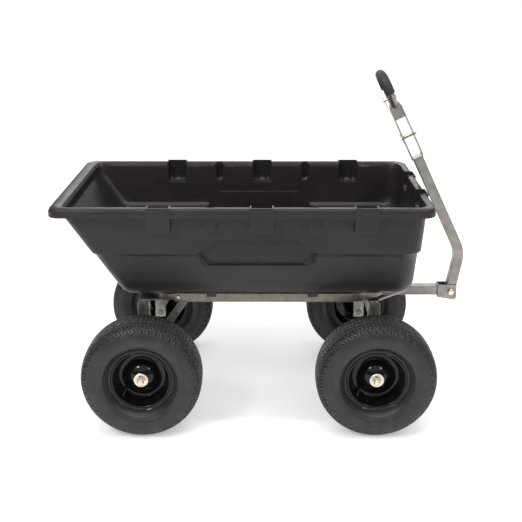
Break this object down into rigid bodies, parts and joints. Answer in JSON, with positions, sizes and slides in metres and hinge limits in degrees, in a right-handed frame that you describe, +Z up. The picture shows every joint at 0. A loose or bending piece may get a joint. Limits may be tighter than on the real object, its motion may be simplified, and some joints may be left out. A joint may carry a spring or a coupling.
{
  "type": "garden cart",
  "caption": "Dumping garden cart: a moulded tub that tips on a U-shaped steel frame, a steered front axle, pneumatic wheels and a bent pull handle with a D grip and hitch yoke.",
  "frame": {"origin": "on the ground, under the centre of the whole cart's box at rest", "axes": "+X forward, the way the cart is pulled; +Y to the cart's left; +Z up; the wheels stand on Z = 0"},
  "size_m": [1.149, 0.7086, 0.9557],
  "materials": {
    "tub_plastic": "charcoal moulded polyethylene, satin",
    "rail_paint": "taupe grey powder coat, satin",
    "grey_paint": "silver grey powder coat, satin",
    "rubber": "black tyre rubber",
    "gloss_black": "gloss black paint on pressed steel",
    "black_steel": "black hub tube",
    "zinc": "yellow zinc plate",
    "foam": "black closed-cell foam grip"
  },
  "bodies": {
    "chassis": {"frame_rail": "rail_paint", "rear_crossbar": "rail_paint", "frame_bolt_right": "zinc", "frame_bolt_left": "zinc", "rear_axle_plate": "grey_paint", "rear_leg_right": "grey_paint", "rear_leg_left": "grey_paint", "rear_brace_right": "grey_paint", "rear_brace_left": "grey_paint", "stub_axle_rear_right": "zinc", "stub_axle_rear_left": "zinc", "axle_nut_rear_right": "zinc", "axle_nut_rear_left": "zinc", "hinge_pin": "zinc", "king_plate": "grey_paint", "latch_bracket": "grey_paint"},
    "tub": {"tub": "tub_plastic", "hinge_bracket_right": "grey_paint", "hinge_bracket_left": "grey_paint", "latch_striker": "zinc"},
    "latch": {"latch_lever": "zinc"},
    "steering": {"front_axle_beam": "grey_paint", "front_leg_right": "grey_paint", "front_leg_left": "grey_paint", "stub_axle_front_right": "zinc", "stub_axle_front_left": "zinc", "axle_nut_front_right": "zinc", "axle_nut_front_left": "zinc", "kingpin": "zinc", "kingpin_nut": "zinc", "tongue": "grey_paint", "tongue_brace_right": "grey_paint", "tongue_brace_left": "grey_paint", "clevis": "grey_paint", "clevis_bolt": "zinc", "clevis_nut": "zinc"},
    "handle": {"handle_tube": "grey_paint", "hitch_yoke": "grey_paint", "hitch_pin": "zinc", "hitch_pin_clip": "zinc", "grip_frame": "grey_paint", "grip_lock_pin": "zinc", "grip_lock_pin_clip": "zinc", "grip_sleeve": "foam"},
    "wheel_rear_right": {"tyre_rear_right": "rubber", "rim_rear_right": "gloss_black", "bearing_sleeve_rear_right": "black_steel", "valve_stem_rear_right": "rubber"},
    "wheel_rear_left": {"tyre_rear_left": "rubber", "rim_rear_left": "gloss_black", "bearing_sleeve_rear_left": "black_steel", "valve_stem_rear_left": "rubber"},
    "wheel_front_right": {"tyre_front_right": "rubber", "rim_front_right": "gloss_black", "bearing_sleeve_front_right": "black_steel", "valve_stem_front_right": "rubber"},
    "wheel_front_left": {"tyre_front_left": "rubber", "rim_front_left": "gloss_black", "bearing_sleeve_front_left": "black_steel", "valve_stem_front_left": "rubber"}
  },
  "joints": [
    {"name": "tub_tip", "type": "hinge", "parent": "chassis", "child": "tub", "pos_m": [-0.35103, 0, 0.36], "axis": [0, -1, 0], "range_deg": [0, 70]},
    {"name": "latch_swing", "type": "hinge", "parent": "chassis", "child": "latch", "pos_m": [0.35247, 0, 0.3545], "axis": [0, -1, 0], "range_deg": [0, 25]},
    {"name": "steering_turn", "type": "hinge", "parent": "chassis", "child": "steering", "pos_m": [0.29427, 0, 0.3], "axis": [0, 0, 1], "range_deg": [-12, 12]},
    {"name": "handle_lower", "type": "hinge", "parent": "steering", "child": "handle", "pos_m": [0.54297, 0, 0.3103], "axis": [0, 1, 0], "range_deg": [0, 130]},
    {"name": "wheel_rear_right_spin", "type": "hinge", "parent": "chassis", "child": "wheel_rear_right", "pos_m": [-0.34433, -0.2908, 0.165], "axis": [0, 1, 0], "continuous": true},
    {"name": "wheel_rear_left_spin", "type": "hinge", "parent": "chassis", "child": "wheel_rear_left", "pos_m": [-0.34433, 0.2908, 0.165], "axis": [0, 1, 0], "continuous": true},
    {"name": "wheel_front_right_spin", "type": "hinge", "parent": "steering", "child": "wheel_front_right", "pos_m": [0.29427, -0.2908, 0.165], "axis": [0, 1, 0], "continuous": true},
    {"name": "wheel_front_left_spin", "type": "hinge", "parent": "steering", "child": "wheel_front_left", "pos_m": [0.29427, 0.2908, 0.165], "axis": [0, 1, 0], "continuous": true}
  ]
}
